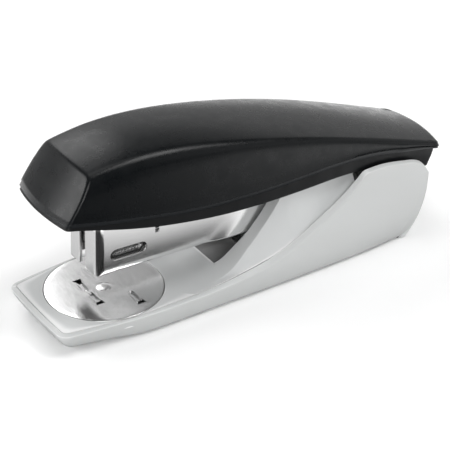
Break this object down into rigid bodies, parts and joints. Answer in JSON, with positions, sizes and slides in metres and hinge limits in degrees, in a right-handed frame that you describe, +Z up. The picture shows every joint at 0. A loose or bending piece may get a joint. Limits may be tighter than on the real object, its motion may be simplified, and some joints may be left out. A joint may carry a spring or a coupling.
{
  "type": "stapler",
  "caption": "Desk stapler: black moulded handle over a plated staple magazine, both hinged at the rear of a light grey base with a round turning anvil.",
  "frame": {"origin": "on the desk, under the middle of the overall length and width", "axes": "+X from the nose to the hinge end, +Y to the left seen from behind the nose end looking along +X, +Z up"},
  "size_m": [0.1435, 0.0404, 0.0595],
  "materials": {
    "light_plastic": "fine satin moulded plastic, light cool grey",
    "deck_plastic": "fine satin moulded plastic, light cool grey",
    "dark_rubber": "matt",
    "handle_plastic": "satin moulded plastic, black",
    "skirt_plastic": "satin moulded plastic, black",
    "nickel_sheet": "nickel-plated pressed sheet",
    "anvil_steel": "plated and polished",
    "frame_steel": "zinc-plated pressed sheet, dark",
    "lever_steel": "pressed sheet",
    "rail_steel": "pressed sheet",
    "spring_steel": "oiled spring wire and leaf",
    "fastener_steel": "zinc-plated",
    "staple_wire": "galvanised wire glued in a strip",
    "follower_plastic": "moulded acetal, dark grey"
  },
  "bodies": {
    "base": {"base_shell": "light_plastic", "base_deck": "deck_plastic", "rubber_sole": "dark_rubber", "base_frame": "frame_steel", "base_screws": "fastener_steel", "hinge_pin": "fastener_steel", "pin_clip": "fastener_steel", "lift_spring": "spring_steel", "spring_rivet": "fastener_steel", "anvil_washer": "spring_steel"},
    "anvil": {"anvil_disc": "anvil_steel", "anvil_stem": "anvil_steel", "anvil_clip": "spring_steel"},
    "magazine": {"magazine_cover": "nickel_sheet", "staple_channel": "rail_steel", "staple_rail": "rail_steel", "staple_strip": "staple_wire", "spring_rod": "fastener_steel", "rod_brackets": "rail_steel", "follower_spring": "spring_steel", "magazine_rivets": "fastener_steel", "handle_spring": "spring_steel"},
    "follower": {"follower": "follower_plastic"},
    "handle": {"driver_blade": "spring_steel", "handle_lever": "lever_steel", "driver_rivets": "fastener_steel", "handle_screws": "fastener_steel", "handle_cap": "handle_plastic", "handle_skirt": "skirt_plastic"}
  },
  "joints": [
    {"name": "magazine_hinge", "type": "hinge", "parent": "base", "child": "magazine", "pos_m": [0.05075, 0, 0.02], "axis": [0, 1, 0], "range_deg": [-5.5, 0], "stiffness_Nm_per_rad": 1.5, "springref_deg": 6.88, "deforming": ["lift_spring"]},
    {"name": "handle_hinge", "type": "hinge", "parent": "magazine", "child": "handle", "pos_m": [0.05075, 0, 0.02], "axis": [0, 1, 0], "range_deg": [-4.3, 45], "stiffness_Nm_per_rad": 0.7, "springref_deg": 1.72, "deforming": ["handle_spring"]},
    {"name": "follower_slide", "type": "slide", "parent": "magazine", "child": "follower", "axis": [0.9994, 0, -0.0349], "range_m": [0, 0.028], "stiffness_N_per_m": 60, "springref_m": -0.01, "deforming": ["follower_spring"]},
    {"name": "anvil_turn", "type": "hinge", "parent": "base", "child": "anvil", "pos_m": [-0.04725, 0, 0.0084], "axis": [0, 0, 1], "range_deg": [0, 180]}
  ]
}
